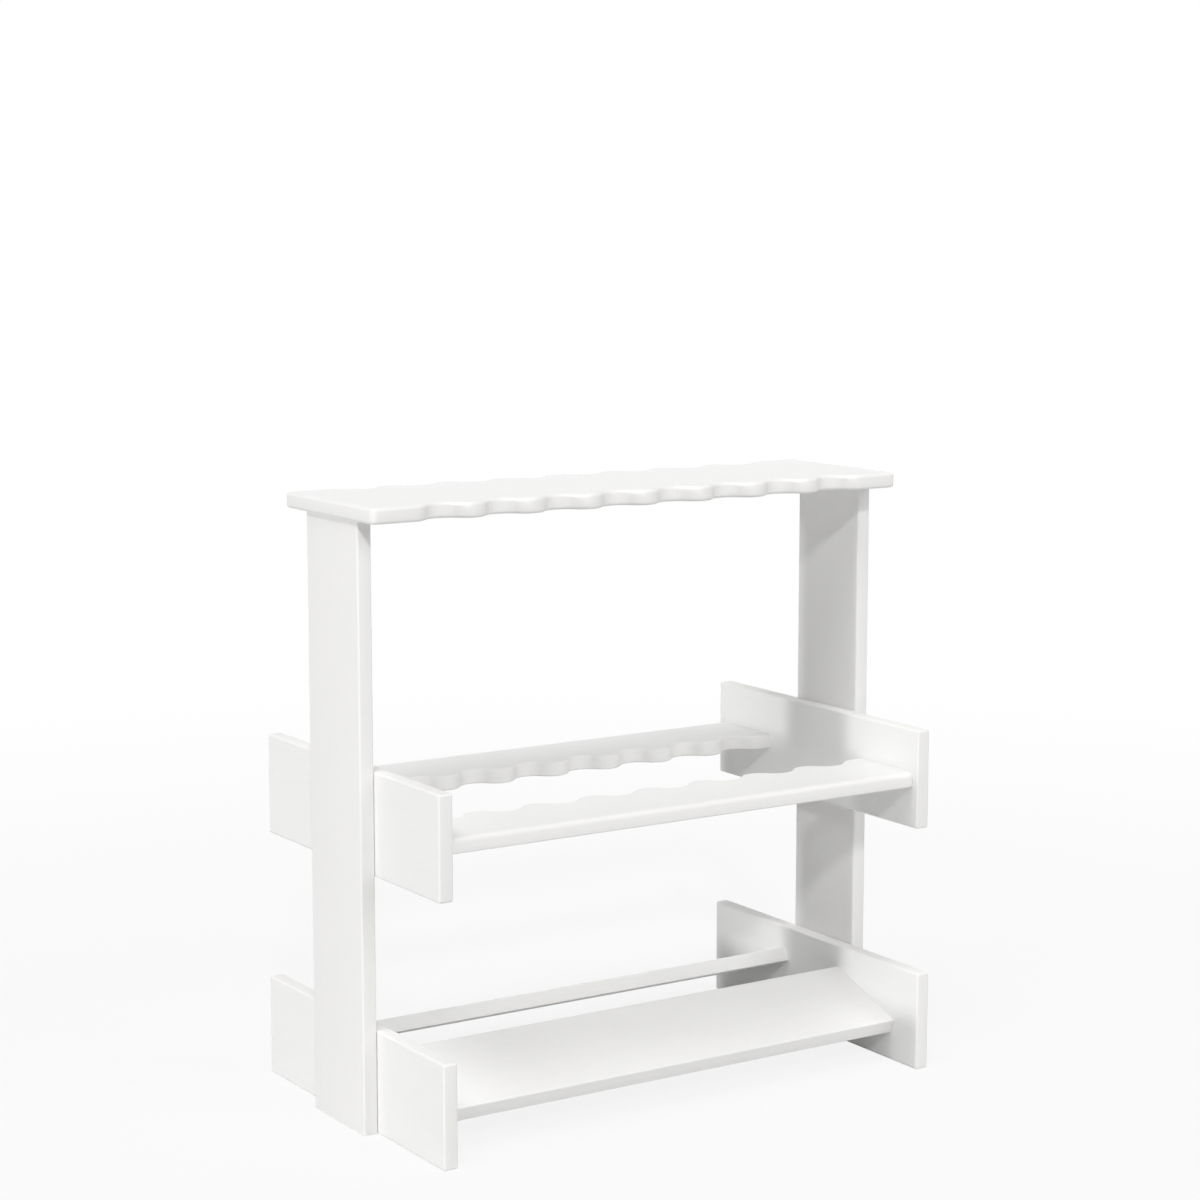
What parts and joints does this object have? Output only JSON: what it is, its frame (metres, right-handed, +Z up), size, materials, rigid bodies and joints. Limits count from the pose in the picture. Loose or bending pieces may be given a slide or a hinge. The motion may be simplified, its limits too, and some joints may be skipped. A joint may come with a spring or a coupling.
{
  "type": "rod rack",
  "caption": "Two-sided floor rack of white painted boards for upright fishing rods: scalloped top board and middle shelves, sloping base shelves between two uprights.",
  "frame": {"origin": "on the floor, under the middle of the rack", "axes": "+X along the rack's length to the right, +Y to the rear, +Z up; the front faces -Y"},
  "size_m": [0.724, 0.421, 0.718],
  "materials": {
    "white_paint": "white satin paint on pine board",
    "dowel_wood": "plain beech",
    "fitting_steel": "zinc plated"
  },
  "bodies": {
    "root": {"top_board": "white_paint", "left_upright": "white_paint", "right_upright": "white_paint", "left_mid_arm": "white_paint", "right_mid_arm": "white_paint", "left_base_arm": "white_paint", "right_base_arm": "white_paint", "front_mid_shelf": "white_paint", "rear_mid_shelf": "white_paint", "front_base_shelf": "white_paint", "rear_base_shelf": "white_paint", "left_top_dowels": "dowel_wood", "right_top_dowels": "dowel_wood", "left_mid_arm_dowels": "dowel_wood", "right_mid_arm_dowels": "dowel_wood", "left_base_arm_dowels": "dowel_wood", "right_base_arm_dowels": "dowel_wood", "front_mid_shelf_dowels": "dowel_wood", "rear_mid_shelf_dowels": "dowel_wood", "front_base_shelf_dowels": "dowel_wood", "rear_base_shelf_dowels": "dowel_wood", "front_mid_cam_bolts": "fitting_steel", "rear_mid_cam_bolts": "fitting_steel", "front_base_cam_bolts": "fitting_steel", "rear_base_cam_bolts": "fitting_steel", "front_mid_cams": "fitting_steel", "rear_mid_cams": "fitting_steel", "front_base_cams": "fitting_steel", "rear_base_cams": "fitting_steel"}
  },
  "joints": []
}
